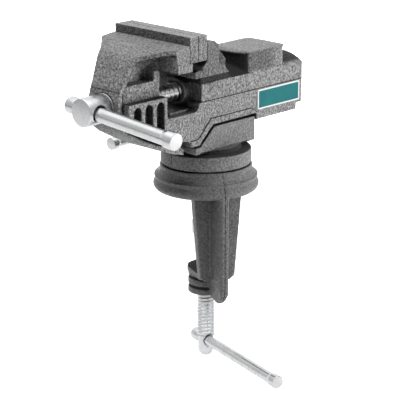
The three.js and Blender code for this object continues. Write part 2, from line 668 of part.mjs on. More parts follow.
// Lead screw: cross-drilled head, plain shank and thread
function leadScrew() {
  const { headFrontY, chamfer, headRadius, radius } = lead;
  const threadStart = slide.beamRearY;
  const rod = solid(alongY(turned([
    [0, headFrontY], [headRadius - chamfer, headFrontY], [headRadius, headFrontY + chamfer],
    [headRadius, headRearY - chamfer], [headRadius - chamfer, headRearY], [radius, headRearY],
    ...threadPoints(radius, lead.threadDeep, lead.pitch, threadStart, lead.tipY),
    [0, lead.tipY],
  ], screwSides), 0, lead.axisZ));
  const hole = solid(disc(lead.holeRadius, -headRadius - overrun, headRadius + overrun)
    .rotateY(Math.PI / 2 + mainBar.tilt).translate(0, holeY, lead.axisZ));
  const collarY = slide.beamRearY - seat - lead.collarLength / 2;
  const pinHole = solid(disc(lead.pinRadius + seat, -headRadius, headRadius)
    .translate(0, collarY, lead.axisZ));
  return cut(rod, hole, pinHole);
}

function retainingCollar() {
  const rearY = slide.beamRearY - seat;
  const frontY = rearY - lead.collarLength;
  const inner = lead.radius + seat;
  const ring = solid(alongY(turned([
    [inner, frontY], [lead.collarRadius, frontY], [lead.collarRadius, rearY], [inner, rearY],
    [inner, frontY],
  ], screwSides), 0, lead.axisZ));
  const pinHole = solid(disc(lead.pinRadius + seat, -2 * lead.collarRadius, 2 * lead.collarRadius)
    .translate(0, rearY - lead.collarLength / 2, lead.axisZ));
  return cut(ring, pinHole);
}

function collarPin() {
  const y = slide.beamRearY - seat - lead.collarLength / 2;
  return disc(lead.pinRadius, -lead.collarRadius, lead.collarRadius, screwSides)
    .translate(0, y, lead.axisZ);
}

function thrustWasher() {
  const inner = lead.radius + seat;
  const frontY = headRearY + seat;
  return alongY(turned([
    [inner, frontY], [lead.washerRadius, frontY], [lead.washerRadius, frontY + lead.washer],
    [inner, frontY + lead.washer], [inner, frontY],
  ], rodSides), 0, lead.axisZ);
}

function leadNut() {
  const nut = block(lead.nutHalf, lead.nutFrontY, nutRearY, lead.nutFoot, lead.nutTop);
  const bore = solid(alongY(disc(lead.radius + seat, lead.nutFrontY - overrun,
    nutRearY + overrun), 0, lead.axisZ));
  return cut(nut, bore);
}

function nutSetScrew() {
  const start = -body.half + 2 * seat;
  return alongX(disc(lead.setScrewRadius, start, -lead.nutHalf - seat, screwSides),
    lead.nutFrontY + lead.nutLength / 2, lead.axisZ);
}

// Clamp screw: thread, cross-drilled head with a round end, neck and ball at the tip
function clampScrew() {
  const { radius, headRadius, headFoot, threadFoot, tip, ballRadius } = clamp;
  const neckTop = tip + ballRadius;
  const rod = solid(turned([
    ...arc(0, headFoot + headRadius, headRadius, -Math.PI / 2, 0, 5),
    [headRadius, threadFoot],
    ...threadPoints(radius, clamp.threadDeep, clamp.pitch, threadFoot, tip),
    [ballRadius / 2, tip],
    ...arc(0, neckTop, ballRadius, -Math.PI / 4, Math.PI / 2, 6),
  ], screwSides));
  const hole = solid(disc(clamp.holeRadius, -headRadius - overrun, headRadius + overrun)
    .rotateY(Math.PI / 2).rotateZ(clamp.barAzimuth).translate(0, 0, clamp.holeZ));
  return cut(rod, hole);
}

function clampPad() {
  const { tip, ballRadius, padRadius, padThick } = clamp;
  const centre = tip + ballRadius;
  const foot = tip + play;
  const room = ballRadius + seat;
  const mouth = Math.asin((foot - centre) / room);
  const cup = arc(0, centre, room, Math.PI / 2, mouth, 6).map(([r, z]) => [Math.max(r, 0), z]);
  return turned([
    ...cup, [padRadius - play, foot], [padRadius, foot + play], [padRadius, foot + padThick - play],
    [padRadius - play, foot + padThick], [0, foot + padThick],
  ], rodSides);
}

// Bars and knobs lie along their own X, from the stop against the head outwards
function barSet(name, spec, group) {
  const stop = -spec.headRadius - seat;
  const start = stop - spec.knobLength + spec.pin;
  const end = spec.reach - spec.knobLength + spec.pin;
  const rod = disc(spec.radius, start, end).rotateY(Math.PI / 2);
  addPiece(name, rod, 'steel', group);
  for (const [side, place, flip] of [['inner', stop, Math.PI], ['outer', spec.reach - spec.knobLength, 0]]) {
    const head = solid(knob(spec.radius + seat, spec.knobRadius, spec.knobLength));
    const socket = solid(disc(spec.radius + seat, -overrun, spec.pin + seat));
    const shape = geometryOf(cut(head, socket)).rotateX(flip);
    addPiece(`${name}_${side}_knob`, shape.rotateY(Math.PI / 2).translate(place, 0, 0), 'steel', group);
  }
}

function mainBarSet() {
  const group = new THREE.Group();
  group.rotation.y = mainBar.tilt;
  group.position.set(0, holeY, lead.axisZ - mainBar.drop);
  vise.add(group);
  barSet('main_bar', {
    radius: mainBar.radius, knobRadius: mainBar.knobRadius, knobLength: mainBar.knobLength,
    pin: mainBar.knobLength / 2, headRadius: lead.headRadius, reach: mainBar.reach,
  }, group);
}

function clampBarSet() {
  const group = new THREE.Group();
  group.rotation.z = clamp.barAzimuth;
  group.position.set(0, 0, clamp.holeZ - clamp.barDrop);
  vise.add(group);
  barSet('clamp_bar', {
    radius: clamp.barRadius, knobRadius: clamp.knobRadius, knobLength: clamp.knobLength,
    pin: clamp.knobLength / 2, headRadius: clamp.headRadius, reach: clamp.barReach,
  }, group);
}

// Swivel lock: screw with a fixed T-bar, pressing a plug into the spigot's groove
const plugTipX = -base.spigotRadius + base.grooveDepth - seat;
const plugTailX = plugTipX - base.grooveDepth - sink - lock.plugLength;

function lockPlug() {
  const cone = base.grooveDepth + sink;
  return alongX(turned([
    [0, plugTailX], [lock.screwRadius, plugTailX], [lock.screwRadius, plugTipX - cone],
    [lock.plugRadius, plugTipX - cone], [base.grooveHalf - seat, plugTipX], [0, plugTipX],
  ], screwSides), 0, lock.axisZ);
}

function lockScrew() {
  const rearX = lock.barX + lock.headLength / 2;
  const endX = lock.barX - lock.headLength / 2;
  const rod = solid(alongX(turned([
    [0, endX], [lock.headRadius - lead.chamfer, endX], [lock.headRadius, endX + lead.chamfer],
    [lock.headRadius, rearX - lead.chamfer], [lock.headRadius - lead.chamfer, rearX],
    [lock.screwRadius, rearX], [lock.screwRadius, plugTailX - seat], [0, plugTailX - seat],
  ], screwSides), 0, lock.axisZ));
  const hole = solid(disc(lock.barRadius + seat, -lock.headRadius - overrun, lock.headRadius + overrun)
    .rotateX(Math.PI / 2).translate(lock.barX, 0, lock.axisZ));
  return cut(rod, hole);
}

function lockBarSet() {
  const group = new THREE.Group();
  group.position.set(lock.barX, lock.barFrontY + lock.barLength / 2, lock.axisZ);
  vise.add(group);
  const inner = lock.barLength / 2 - lock.knobLength;
  const pin = lock.knobLength / 2;
  addPiece('lock_bar', alongY(disc(lock.barRadius, -inner - pin, inner + pin), 0, 0), 'steel', group);
  for (const [side, towards] of [['front', 1], ['rear', -1]]) {
    const head = solid(knob(lock.barRadius + seat, lock.knobRadius, lock.knobLength));
    const socket = solid(disc(lock.barRadius + seat, -overrun, pin + seat));
    const shape = geometryOf(cut(head, socket)).translate(0, 0, inner);
    addPiece(`lock_bar_${side}_knob`, shape.rotateX((towards * Math.PI) / 2), 'steel', group);
  }
}

function labelPlate() {
  return profile([
    [label.frontY, label.foot], [label.rearY, label.foot],
    [label.rearY, label.foot + label.height], [label.frontY, label.foot + label.height],
  ], body.half + label.thick, body.half);
}

addPiece('clamp_bracket', clampBracket(), 'paint');
addPiece('turret', turretCasting(), 'paint');
addPiece('vise_body', viseBody(), 'paint');
addPiece('moving_jaw', movingJaw(), 'paint');
addPiece('fixed_jaw_plate', jawPlate(1), 'plate');
addPiece('moving_jaw_plate', jawPlate(-1), 'plate');
for (const [side, x] of [['near', jawScrewX], ['far', -jawScrewX]]) {
  addPiece(`fixed_jaw_screw_${side}`, jawScrew(x, 1), 'steel');
  addPiece(`moving_jaw_screw_${side}`, jawScrew(x, -1), 'steel');
}
bodyScrewPlaces().forEach(([x, y], i) => {
  const screw = countersunk(bodyScrew.radius, bodyScrew.head, bodyScrew.headDeep, bodyScrew.length);
  addPiece(`body_screw_${i + 1}`, screw.translate(x, y, body.floorTop - 2 * seat), 'steel');
});
addPiece('lead_screw', leadScrew(), 'steel');
addPiece('thrust_washer', thrustWasher(), 'steel');
addPiece('retaining_collar', retainingCollar(), 'steel');
addPiece('collar_pin', collarPin(), 'steel');
addPiece('lead_nut', leadNut(), 'brass');
addPiece('nut_set_screw', nutSetScrew(), 'steel');
mainBarSet();
addPiece('clamp_screw', clampScrew(), 'steel');
addPiece('clamp_pad', clampPad(), 'steel');
clampBarSet();
addPiece('lock_plug', lockPlug(), 'brass');
addPiece('lock_screw', lockScrew(), 'steel');
lockBarSet();
addPiece('side_label', labelPlate(), 'teal');

export default vise;
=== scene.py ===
"""Swivel bench vise on a C-clamp bracket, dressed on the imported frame.

Sizes are in millimetres and become metres through MM. The origin is the centre of the flange's
underside. +X is the side with the label, +Y runs from the screw head to the anvil, +Z is up.
"""

import math

import bmesh
import bpy
from mathutils import Matrix, Vector


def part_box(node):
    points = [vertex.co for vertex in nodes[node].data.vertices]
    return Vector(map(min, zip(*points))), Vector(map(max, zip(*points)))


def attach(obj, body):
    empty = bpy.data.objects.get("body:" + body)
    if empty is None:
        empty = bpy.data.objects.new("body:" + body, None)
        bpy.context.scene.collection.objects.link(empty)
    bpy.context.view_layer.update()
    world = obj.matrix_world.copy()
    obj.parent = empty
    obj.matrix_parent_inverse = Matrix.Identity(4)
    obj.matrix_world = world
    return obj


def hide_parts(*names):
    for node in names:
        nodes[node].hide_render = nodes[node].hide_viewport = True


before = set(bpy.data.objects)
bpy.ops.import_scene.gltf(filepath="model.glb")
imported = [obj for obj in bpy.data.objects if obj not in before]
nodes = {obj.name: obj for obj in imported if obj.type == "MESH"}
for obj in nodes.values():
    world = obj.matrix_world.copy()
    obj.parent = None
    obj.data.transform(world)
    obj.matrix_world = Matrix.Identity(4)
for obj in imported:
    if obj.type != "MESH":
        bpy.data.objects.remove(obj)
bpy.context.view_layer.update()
MM = 0.001

# Camera: where the photograph was taken from
AZIMUTH = math.radians(44)
ELEVATION = math.radians(17)
SENSOR_MM = 36
IMAGE_PX = 400
FOCAL_PX = 1772
DISTANCE = 1048.5 * MM
AIM_RIGHT = -3.49 * MM
AIM_UP = -7.40 * MM


def span(node, axis):
    """Where a node of the frame starts and ends along an axis, in millimetres."""
    low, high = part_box(node)
    return low[axis] / MM, high[axis] / MM


# Screws, bars and their axes, as in the solids. Inset and rim shape the mouths of a cross hole,
# and runout is where a thread ends before its tip
LEAD = {"z": 63.1, "radius": 5.3, "depth": 1.0, "pitch": 3.5, "head": 8.1, "round": 0.9,
        "front": span("lead_screw", 1)[0], "shoulder": span("lead_screw", 1)[0] + 16.2,
        "thread": -48.6, "tip": span("lead_screw", 1)[1], "runout": 0.8,
        "hole": 4.9, "hole_y": -90.5, "inset": 0.6, "rim": 0.7}
CLAMP = {"radius": 5.3, "depth": 0.75, "pitch": 2.2, "head": 4.6, "foot": span("clamp_screw", 2)[0],
         "thread": -92.7, "shoulder": 0.3, "ball": 3.4, "top": span("clamp_screw", 2)[1],
         "runout": 0.2, "hole": 3.55, "hole_z": -95.6, "inset": 0.5, "rim": 0.5}
MAIN_BAR = {"radius": 4.1, "knob": 4.9, "length": 8.5, "stop": 8.4, "reach": 65.5,
            "origin": (0, -90.5, 62.6), "tilt": math.radians(4.4), "turn": 0}
CLAMP_BAR = {"radius": 3.1, "knob": 3.8, "length": 7.0, "stop": 4.9, "reach": 79.5,
             "origin": (0, 0, -95.7), "tilt": 0, "turn": math.radians(-15.1)}
LOCK = {"x": -52.0, "z": 22.3, "radius": 3.0, "depth": 0.45, "pitch": 1.25, "head": 4.5,
        "half": 5.0, "round": 0.7, "thread": -40, "inner": span("lock_screw", 0)[1], "runout": 0.4,
        "hole": 3.2, "inset": 0.4, "rim": 0.5, "bar": 2.9, "knob": 3.8, "length": 6.0,
        "front": span("lock_bar_front_knob", 1)[0], "span": 41.0}
KNOB = {"sink": 0.05, "step": 0.1, "cone": 0.32, "round": 0.55}
FLUSH = {"point": 0.4, "point_length": 0.5, "rim": 0.35, "edge": 0.15,
         "socket": 0.5, "deep": 0.55, "cone": 0.4}
LABEL = {"border": 0.9, "corner": 1.2, "steps": 6, "pale": (0.8, 0.81, 0.81),
         "teal": ((0.006, 0.145, 0.155), (0.008, 0.175, 0.18))}

# Points round a turned piece, a cross hole, a small piece and a hexagon
ROUND = 72
HOLE_ROUND = 48
SMALL_ROUND = 40
HEXAGON = 6

# Skins of the castings: voxel size, rounds of softening and share of the faces kept, then the
# size, depth and middle of the unevenness
SKIN = {"voxel": 0.4, "rounds": 3, "keep": 0.4, "wave": 5, "depth": 0.16, "middle": 0.9}

# Cast paint: the sizes of its grains and clouds, the reach of the painted shade in its hollows, how
# much calmer it is where it faces up, and the share of its tone that is left in a mark or painted shade
CAST = {"speckle": 1.15, "pebble": 1.9, "cloud": 16, "hollow_shade": 22, "calm": 0.75, "marked_or_shaded": 0.08}

# Plated steel and its stains, brass from dark to light, and the crossed cuts of the jaw plates
STEEL = {"tint": (0.86, 0.87, 0.88), "stained": 0.72, "rough": 0.2, "rougher": 0.36}
BRASS = ((0.56, 0.42, 0.2), (0.74, 0.6, 0.32))
KNURL = {"pitch": 1.9, "start": 0.3, "full": 0.42}

# Lines on the castings: the body's joint, the painted shade line along its lip, the mould's joint
# on round castings, the painted shadow on the turret's neck and painted shade in the boss's grooves
BODY = {"half": 16.0, "seam": 58.0, "front": -22.3, "rear": 67.2}
LIP = ((-29, 36.8), (-23.2, 36.8), (-12.7, 47.4), (21.8, 47.4), (27.6, 43.6))
JOINT = {"half": 0.1, "reach": 20, "grain": 1.6}
COLUMN_AZIMUTH = math.radians(65)
TURRET_AZIMUTH = math.radians(-5)
NECK = {"foot": 25.3, "top": 28.2, "reach": 26.2, "dark": 0.85}
BOSS = {"core": 7, "radius": 10.9, "grooves": (-59.9, -54.3), "half": 0.7, "soft": 0.4, "dark": 0.9}

# Painted shade on the castings, in hollows, under overhangs, in shadows and on faces turned from
# the lamps; two rows, slot_flanks and web_side, only mark places that the painted hollow shade
# leaves out. Each row says how strong it is, then how far it reaches off the centre plane, along Y
# and along Z, as low, high and soft edges, and last the way that the surface faces there, with the
# share where it starts and where it is full. None leaves a column free
SHADES = {
    "roof": (0.86, (0, 15.7, 0.3), (-18, 68, 2), (70, 75, 1.8, 0.6), ("+Z", 0.15, 0.4)),
    "trough_rim": (0.92, None, (-80, -47.8, 0.4), (65.4, 67, 0.4), ("+Z", 0.5, 0.75)),
    "anvil_hollow": (1.0, (0, 15.2, 0.4), (6, 20, 2.5), (66, 79.2, 2), None),
    "anvil_flank": (0.5, (14, 15.6, 0.2), (14, 36, 14), (69.5, 79.6, 1), None),
    "jaw_neck": (0.9, (0, 16.3, 0.2), (-24, 6, 1), (68.6, 82, 0.4, 0.5), None),
    "jaw_ends": (0.35, (27, 40, 4), None, None, None),
    "gusset": (0.62, (0, 20.6, 0.4), (-20.2, 4, 0.5), (76, 94, 1), None),
    "slot_ends": (0.95, (8, 15.2, 0.4), (-76, -48.6, 0.5), (36, 64.5, 0.5), ("-Y", 0.25, 0.6)),
    "slot_flanks": (0.75, (10.5, 17, 0.3), (-76, -48.6, 0.5), (36, 64.5, 0.5), None),
    "hood_room": (0.9, (0, 11.4, 0.4), (-48, -40.6, 1), (50, 86.5, 1), None),
    "hood_back": (0.85, None, (-80, -50, 1), (64, 98, 1), ("+Y", 0.15, 0.4)),
    "hood_underside": (0.85, None, (-80, -50, 1), (64, 98, 1), ("-Z", 0.1, 0.35)),
    "nose_joint": (1.0, (9.5, 11.5, 0.3), (-77.15, -76.65, 0.25), (54, 75, 0.5), None),
    "web_side": (0.85, (0, 14, 1), (-76, -50, 2), (70, 92, 1), None),
    "arm_top": (0.85, None, None, (-49.5, -47, 0.3), ("+Z", 0.5, 0.8)),
}

# Studio: how far the soft boxes stand, with azimuth from -Y towards +X and elevation in degrees,
# width in metres and watts, and how bright the room is to matt surfaces and in reflections
LAMP_DISTANCE = 1.4
LAMPS = {"right": (130, 8, 0.5, 20), "left": (-125, 12, 0.5, 12), "high": (-10, 65, 0.9, 15)}
AMBIENT = 0.11
REFLECTED = 2.0

# The room's bands, from straight down at 0 over the horizon at 0.5 to straight up at 1, and the
# backdrop behind the object: its tone, and the cosines to the line of sight where it starts and
# is full
BANDS = ((0.0, 0.4), (0.45, 0.3), (0.49, 0.06), (0.51, 0.06), (0.56, 0.34), (0.66, 0.22),
         (0.82, 0.3), (0.92, 0.7))
BACKDROP = {"tone": 0.45, "start": 0.35, "full": 0.75}

# The floor: its height and half width in metres, its paint, and how bright it is to the camera
# near the object and far out
FLOOR = {"height": -0.15, "half": 6, "tone": 0.8, "rough": 0.9, "near": 0.3, "near_glow": 0.72,
         "far": 1.2, "far_glow": 1.0, "mirrored": 0.1}


# Small tools for meshes

def new_piece(name, mesh, body, slot, *replaced):
    """A mesh as a piece on a CAD body, standing for the nodes named."""
    piece = bpy.data.objects.new(name, mesh)
    bpy.context.scene.collection.objects.link(piece)
    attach(piece, body)
    if replaced:
        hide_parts(*replaced)
    return piece


def loose_object(mesh):
    """A helper object that is used up by a modifier and removed again."""
    helper = bpy.data.objects.new(mesh.name, mesh)
    bpy.context.scene.collection.objects.link(helper)
    return helper


def baked(helper):
    """The helper's mesh with its modifiers worked in."""
    bpy.context.view_layer.update()
    graph = bpy.context.evaluated_depsgraph_get()
    mesh = bpy.data.meshes.new_from_object(helper.evaluated_get(graph))
    bpy.data.objects.remove(helper)
    return mesh


def smooth(mesh, angle=35):
    """Smooth shading, with edges sharper than the angle kept crisp."""
    mesh.polygons.foreach_set("use_smooth", [True] * len(mesh.polygons))
    if angle:
        mesh.set_sharp_from_angle(angle=math.radians(angle))
    return mesh


def finished(name, work):
    """A bmesh in millimetres as a mesh in metres, its normals outwards."""
    bmesh.ops.recalc_face_normals(work, faces=work.faces)
    work.transform(Matrix.Scale(MM, 4))
    mesh = bpy.data.meshes.new(name)
    work.to_mesh(mesh)
    work.free()
    return smooth(mesh)


def rounded(points, radius, steps=4):
    """The outline with each inner corner rounded; the first and last points stay."""
    result = [points[0]]
    for before, here, after in zip(points, points[1:], points[2:]):
        corner = Vector(here)
        back = Vector(before) - corner
        ahead = Vector(after) - corner
        if back.length < 1e-6 or ahead.length < 1e-6:
            continue
        angle = back.angle(ahead)
        reach = min(radius / math.tan(angle / 2), 0.45 * back.length, 0.45 * ahead.length)
        start = corner + back.normalized() * reach
        end = corner + ahead.normalized() * reach
        for i in range(steps + 1):
            t = i / steps
            result.append(tuple((1 - t) ** 2 * start + 2 * t * (1 - t) * corner + t ** 2 * end))
    result.append(points[-1])
    return result


def rings_to_bmesh(rings):
    """Rings of points with equal counts, skinned; a ring of one point closes an end."""
    work = bmesh.new()
    made = [[work.verts.new(p) for p in ring] for ring in rings]
    for a, b in zip(made, made[1:]):
        count = max(len(a), len(b))
        for i in range(count):
            j = (i + 1) % count
            if len(a) == 1:
                work.faces.new((a[0], b[j], b[i]))
            elif len(b) == 1:
                work.faces.new((a[i], a[j], b[0]))
            else:
                work.faces.new((a[i], a[j], b[j], b[i]))
    return work


def circle(radius, z, sides=ROUND):
    if radius < 1e-6:
        return [(0, 0, z)]
    return [(radius * math.cos(a), radius * math.sin(a), z)
            for a in (2 * math.pi * i / sides for i in range(sides))]


def lathe(outline, sides=ROUND):
    """A body of revolution about Z from (radius, z) points that start and end on the axis."""
    return rings_to_bmesh([circle(r, z, sides) for r, z in outline])


def thread_rings(radius, depth, pitch, start, end, per_turn=12):
    """Rings of a right-hand thread that fades out at both ends."""
    count = max(2, round((end - start) / pitch * per_turn))
    rings = []
    for i in range(count + 1):
        z = start + (end - start) * i / count
        fade = min(1, (z - start) / pitch, (end - z) / pitch)
        ring = []
        for k in range(ROUND):
            angle = 2 * math.pi * k / ROUND
            phase = (z / pitch - k / ROUND) % 1
            flank = min(1, max(0, 1.25 * abs(2 * phase - 1) - 0.12))
            r = radius - depth * fade * (1 - flank)
            ring.append((r * math.cos(angle), r * math.sin(angle), z))
        rings.append(ring)
    return rings


def along_y(z):
    """Turns a piece made along Z to lie along Y, at a height."""
    return Matrix.Translation((0, 0, z)) @ Matrix.Rotation(-math.pi / 2, 4, "X")


def along_x(z):
    """Turns a piece made along Z to lie along X, at a height."""
    return Matrix.Translation((0, 0, z)) @ Matrix.Rotation(math.pi / 2, 4, "Y")


def bored(mesh, tools):
    """The mesh with each bmesh tool cut out of it."""
    helper = loose_object(mesh)
    cutters = []
    for i, tool in enumerate(tools):
        cutter = loose_object(finished(f"cutter_{i}", tool))
        cutters.append(cutter)
        cut = helper.modifiers.new(f"cut_{i}", "BOOLEAN")
        cut.operation = "DIFFERENCE"
        cut.solver = "EXACT"
        cut.object = cutter
    result = baked(helper)
    for cutter in cutters:
        bpy.data.objects.remove(cutter)
    return smooth(result)


def edge_cutter(radius, half, rim):
    """A cutter for a cross hole, wider at both mouths so that the rims are chamfered."""
    wide, far = radius + 4, half + 4
    return [(0, -far), (wide, -far), (radius + rim, -half), (radius, -half + rim),
            (radius, half - rim), (radius + rim, half), (wide, far), (0, far)]


# Materials

class Paint:
    """A material's node tree with short calls for what the surfaces share."""

    def __init__(self, name):
        self.material = bpy.data.materials.new(name)
        self.material.use_nodes = True
        self.tree = self.material.node_tree
        self.shader = self.tree.nodes["Principled BSDF"]
        self.place = self.tree.nodes.new("ShaderNodeTexCoord").outputs["Object"]

    def node(self, kind, **values):
        made = self.tree.nodes.new(kind)
        for key, value in values.items():
            setattr(made, key, value)
        return made

    def join(self, source, target):
        self.tree.links.new(source, target)

    def stretched(self, scale):
        mapping = self.node("ShaderNodeMapping")
        mapping.inputs["Scale"].default_value = scale
        self.join(self.place, mapping.inputs["Vector"])
        return mapping.outputs["Vector"]

    def noise(self, size_mm, detail=2.0, roughness=0.5, place=None):
        made = self.node("ShaderNodeTexNoise")
        made.inputs["Scale"].default_value = 1 / (size_mm * MM)
        made.inputs["Detail"].default_value = detail
        made.inputs["Roughness"].default_value = roughness
        self.join(place or self.place, made.inputs["Vector"])
        return made.outputs["Fac"]

    def pebbles(self, size_mm):
        made = self.node("ShaderNodeTexVoronoi", feature="SMOOTH_F1")
        made.inputs["Scale"].default_value = 1 / (size_mm * MM)
        made.inputs["Smoothness"].default_value = 0.6
        self.join(self.place, made.inputs["Vector"])
        return made.outputs["Distance"]

    def ramp(self, value, *stops):
        made = self.node("ShaderNodeValToRGB")
        band = made.color_ramp
        while len(band.elements) < len(stops):
            band.elements.new(0.5)
        for element, (at, colour) in zip(band.elements, stops):
            element.position = at
            element.color = (*colour, 1) if isinstance(colour, tuple) else (colour,) * 3 + (1,)
        self.join(value, made.inputs["Fac"])
        return made.outputs["Color"]

    def math(self, operation, a, b=None):
        made = self.node("ShaderNodeMath", operation=operation)
        for socket, value in zip(made.inputs, (a, b)):
            if value is None:
                continue
            if isinstance(value, (int, float)):
                socket.default_value = value
            else:
                self.join(value, socket)
        return made.outputs[0]

    def blend(self, share, a, b, mode="MIX"):
        made = self.node("ShaderNodeMix", data_type="RGBA", blend_type=mode)
        for socket, value in zip((made.inputs[0], made.inputs[6], made.inputs[7]), (share, a, b)):
            if isinstance(value, (int, float)):
                socket.default_value = value
            elif isinstance(value, tuple):
                socket.default_value = (*value, 1)
            else:
                self.join(value, socket)
        return made.outputs[2]

    def bump(self, height, depth_mm, strength=1.0, after=None):
        made = self.node("ShaderNodeBump")
        made.inputs["Distance"].default_value = depth_mm * MM
        made.inputs["Strength"].default_value = strength
        self.join(height, made.inputs["Height"])
        if after:
            self.join(after, made.inputs["Normal"])
        return made.outputs["Normal"]

    def axes(self):
        split = self.node("ShaderNodeSeparateXYZ")
        self.join(self.place, split.inputs[0])
        return split.outputs

    def from_axis(self):
        """How far the place is from the swivel axis."""
        x, y, _ = self.axes()
        return self.math("SQRT", self.math("ADD", self.times(x, x), self.times(y, y)))

    def faces(self, way, start, end):
        """How fully the surface faces a way such as -Y: 0 up to the start, 1 from the end on."""
        split = self.node("ShaderNodeSeparateXYZ")
        self.join(self.node("ShaderNodeTexCoord").outputs["Normal"], split.inputs[0])
        sign, axis = way
        far = self.math("MULTIPLY", split.outputs[axis], 1 if sign == "+" else -1)
        return self.between(far, start, end)

    def between(self, value, start, end):
        """0 up to the start, 1 from the end on, and smooth between them."""
        made = self.node("ShaderNodeMapRange", interpolation_type="SMOOTHSTEP")
        made.inputs["From Min"].default_value = start
        made.inputs["From Max"].default_value = end
        self.join(value, made.inputs["Value"])
        return made.outputs[0]

    def open_sky(self, reach_mm):
        """How open the surface lies, from 0 deep in a hollow to 1 on an outer face."""
        made = self.node("ShaderNodeAmbientOcclusion", samples=6)
        made.inputs["Distance"].default_value = reach_mm * MM
        return made.outputs["AO"]

    def within(self, value, low_mm, high_mm, soft_mm, high_soft_mm=None):
        """1 between the two places and 0 beyond their soft edges."""
        rise = self.between(value, (low_mm - soft_mm) * MM, low_mm * MM)
        fall = self.between(value, high_mm * MM, (high_mm + (high_soft_mm or soft_mm)) * MM)
        return self.math("MULTIPLY", rise, self.math("SUBTRACT", 1.0, fall))

    def shade(self, name):
        """How strong one of the SHADES is at each place."""
        strength, *reaches, facing = SHADES[name]
        x, y, z = self.axes()
        places = (self.math("ABSOLUTE", x), y, z)
        found = [self.within(place, *reach) for place, reach in zip(places, reaches) if reach]
        if facing:
            found.append(self.faces(*facing))
        return self.times(strength, *found)

    def shades(self, *names):
        return self.most(*(self.shade(name) for name in names))

    def times(self, first, *others):
        for other in others:
            first = self.math("MULTIPLY", first, other)
        return first

    def most(self, first, *others):
        for other in others:
            first = self.math("MAXIMUM", first, other)
        return first

    def trail(self, y, z, points, half_mm, soft_mm=0.2):
        """1 on a line through points given as (y, z) in millimetres, 0 beside it."""
        found = None
        for (y0, z0), (y1, z1) in zip(points, points[1:]):
            run, rise = y1 - y0, z1 - z0
            square = (run ** 2 + rise ** 2) * MM
            off_y = self.math("SUBTRACT", y, y0 * MM)
            off_z = self.math("SUBTRACT", z, z0 * MM)
            share = self.math("ADD", self.math("MULTIPLY", off_y, run / square),
                              self.math("MULTIPLY", off_z, rise / square))
            share = self.math("MINIMUM", self.math("MAXIMUM", share, 0.0), 1.0)
            left_y = self.math("SUBTRACT", off_y, self.math("MULTIPLY", share, run * MM))
            left_z = self.math("SUBTRACT", off_z, self.math("MULTIPLY", share, rise * MM))
            gap = self.math("SQRT", self.math("ADD", self.math("MULTIPLY", left_y, left_y),
                                              self.math("MULTIPLY", left_z, left_z)))
            found = gap if found is None else self.math("MINIMUM", found, gap)
        return self.math("SUBTRACT", 1.0, self.between(found, half_mm * MM, (half_mm + soft_mm) * MM))

    def line(self, value, centre_mm, half_mm, soft_mm=0.25):
        """1 on a line where the value passes the centre, 0 beside it."""
        off = self.math("ABSOLUTE", self.math("SUBTRACT", value, centre_mm * MM))
        return self.math("SUBTRACT", 1.0, self.between(off, half_mm * MM, (half_mm + soft_mm) * MM))

    def set(self, **values):
        for key, value in values.items():
            socket = self.shader.inputs[key.replace("_", " ")]
            if isinstance(value, tuple):
                socket.default_value = (*value, 1)
            elif isinstance(value, (int, float)):
                socket.default_value = value
            else:
                self.join(value, socket)
        return self.material


def cast_paint(name, tone=0.27, rough=0.5, gloss=0.35, grain=1.0, coarse=1.0, marks=None, unshaded=None):
    """Grey textured paint over a rough casting, calmer where it faces up, with painted shade in its
    hollows.

    Coarse is how strong the speckle and its relief are. Marks is a function that gives how dark
    each place is beyond that, joint lines and painted shade alike, and the last argument names the
    shade whose places are left out of the painted hollow shade.
    """
    paint = Paint(name)
    speckle = paint.noise(CAST["speckle"] * grain, 1.5, 0.6)
    pebble = paint.pebbles(CAST["pebble"] * grain)
    cloud = paint.noise(CAST["cloud"], 3.0, 0.6)
    calm = paint.faces("+Z", 0.75, 0.95)
    rougher = paint.math("SUBTRACT", 1.0, paint.math("MULTIPLY", calm, CAST["calm"]))
    base = paint.ramp(speckle, (0.34, (1 - 0.55 * coarse) * tone), (0.5, tone),
                      (0.66, (1 + 0.65 * coarse) * tone))
    shade = paint.ramp(cloud, (0.3, 0.88), (0.7, 1.06))
    colour = paint.blend(1.0, base, shade, "MULTIPLY")
    # Painted shade: the colour darkens in hollows and under overhangs, as far as the occlusion reaches,
    # except where the named shade leaves places out
    hollow_shade = paint.ramp(paint.open_sky(CAST["hollow_shade"]), (0.25, 0.18), (0.8, 1.0))
    if unshaded:
        hollow_shade = paint.blend(paint.shade(unshaded), hollow_shade, (1.0, 1.0, 1.0))
    colour = paint.blend(1.0, colour, hollow_shade, "MULTIPLY")
    height = paint.math("ADD", speckle, paint.math("MULTIPLY", pebble, 0.4))
    height = paint.math("MULTIPLY", height, rougher)
    normal = paint.bump(height, coarse)
    # Marks darken the colour and roughen the paint: joint lines, and painted shade in hollows, under
    # overhangs, in shadows and on faces turned from the lamps
    if marks:
        dark = marks(paint)
        colour = paint.blend(dark, colour, (CAST["marked_or_shaded"] * tone,) * 3)
        rough = paint.math("ADD", paint.math("MULTIPLY", dark, 1 - rough), rough)
    normal = paint.bump(cloud, 0.8, 0.3, normal)
    return paint.set(Base_Color=colour, Specular_IOR_Level=gloss, Roughness=rough, Normal=normal)


def body_lines_and_shade(paint):
    """Joint line on the sides, painted shade along the lip and round the anvil, jaws and slots."""
    x, y, z = paint.axes()
    on_side = paint.between(paint.math("ABSOLUTE", x), (BODY["half"] - 0.8) * MM,
                            (BODY["half"] - 0.5) * MM)
    seam = paint.times(paint.line(z, BODY["seam"], 0.12), on_side,
                       paint.within(y, BODY["front"], BODY["rear"], 0.3))
    # Painted shade line along the upper step of the lip
    lip = paint.times(paint.trail(y, z, LIP, 0.16), on_side)
    # Painted shade round the anvil, the jaws and the slots
    return paint.most(seam, lip, paint.shades("roof", "trough_rim", "slot_ends", "anvil_hollow",
                                              "anvil_flank", "gusset", "jaw_neck", "jaw_ends"))


